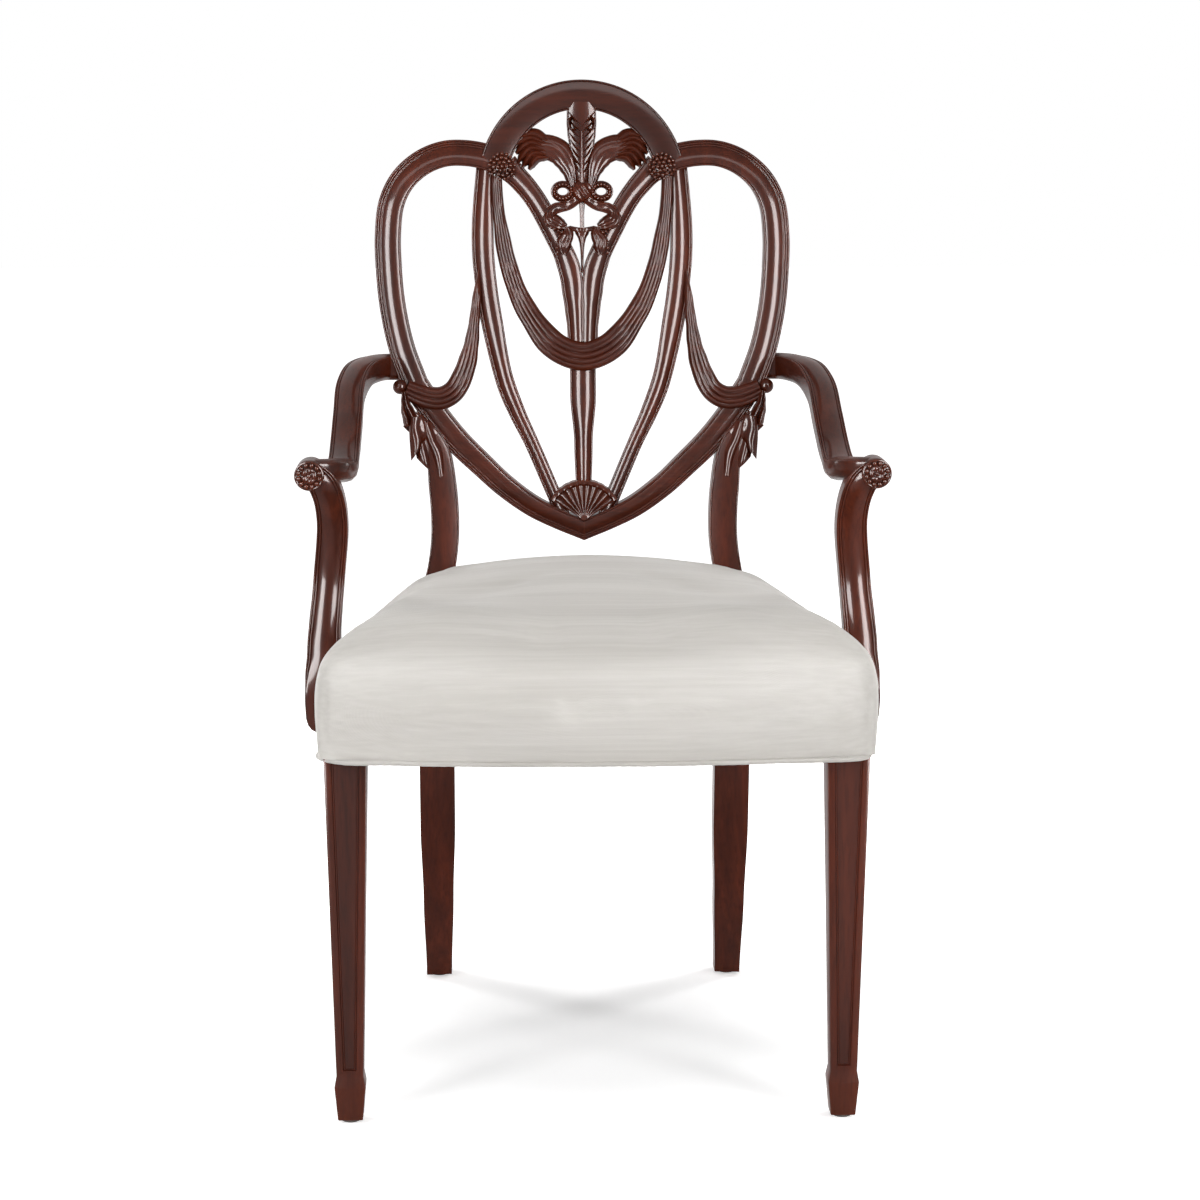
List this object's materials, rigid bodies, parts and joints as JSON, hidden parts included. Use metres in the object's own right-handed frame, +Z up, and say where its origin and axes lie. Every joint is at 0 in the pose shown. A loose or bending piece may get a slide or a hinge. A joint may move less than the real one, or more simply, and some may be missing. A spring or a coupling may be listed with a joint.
{
  "type": "shield back dining armchair",
  "caption": "Carved shield-back dining armchair with open scrolled arms, an upholstered domed seat, tapered front legs and splayed rear legs.",
  "frame": {"origin": "middle of the bounding box at floor height", "axes": "+Z up, -Y the way the chair faces, +X to the right of someone who looks at its front"},
  "size_m": [0.5812, 0.6084, 0.9998],
  "materials": {
    "mahogany": "gloss lacquer",
    "frame_wood": "sawn, unfinished",
    "satin": "satin weave",
    "foam": "open foam",
    "webbing": "woven jute",
    "cambric": "matt cloth",
    "steel": "zinc plated",
    "nylon": "satin"
  },
  "bodies": {
    "root": {"shield_stile_left": "mahogany", "shield_base_left": "mahogany", "inner_rib_left": "mahogany", "outer_rib_left": "mahogany", "side_swag_left": "mahogany", "swag_button_left": "mahogany", "berry_cluster_left": "mahogany", "drapery_tail_left": "mahogany", "plume_left": "mahogany", "shield_stile_right": "mahogany", "shield_base_right": "mahogany", "inner_rib_right": "mahogany", "outer_rib_right": "mahogany", "side_swag_right": "mahogany", "swag_button_right": "mahogany", "berry_cluster_right": "mahogany", "drapery_tail_right": "mahogany", "plume_right": "mahogany", "crest_arch": "mahogany", "splat_trunk": "mahogany", "centre_swag": "mahogany", "fan_carving": "mahogany", "centre_feather": "mahogany", "ribbon_bow": "mahogany", "husk_drop": "mahogany", "rear_leg_left": "mahogany", "front_leg_left": "mahogany", "side_rail_left": "frame_wood", "corner_block_front_left": "frame_wood", "corner_screw_front_left": "steel", "glide_front_left": "nylon", "corner_block_rear_left": "frame_wood", "corner_screw_rear_left": "steel", "glide_rear_left": "nylon", "arm_post_left": "mahogany", "arm_post_screw_left": "steel", "arm_left": "mahogany", "arm_roundel_left": "mahogany", "rear_leg_right": "mahogany", "front_leg_right": "mahogany", "side_rail_right": "frame_wood", "corner_block_front_right": "frame_wood", "corner_screw_front_right": "steel", "glide_front_right": "nylon", "corner_block_rear_right": "frame_wood", "corner_screw_rear_right": "steel", "glide_rear_right": "nylon", "arm_post_right": "mahogany", "arm_post_screw_right": "steel", "arm_right": "mahogany", "arm_roundel_right": "mahogany", "front_rail": "frame_wood", "rear_rail": "frame_wood", "seat_cover": "satin", "seat_foam": "foam", "seat_webbing": "webbing", "dust_cover": "cambric", "seat_welt": "satin"}
  },
  "joints": []
}
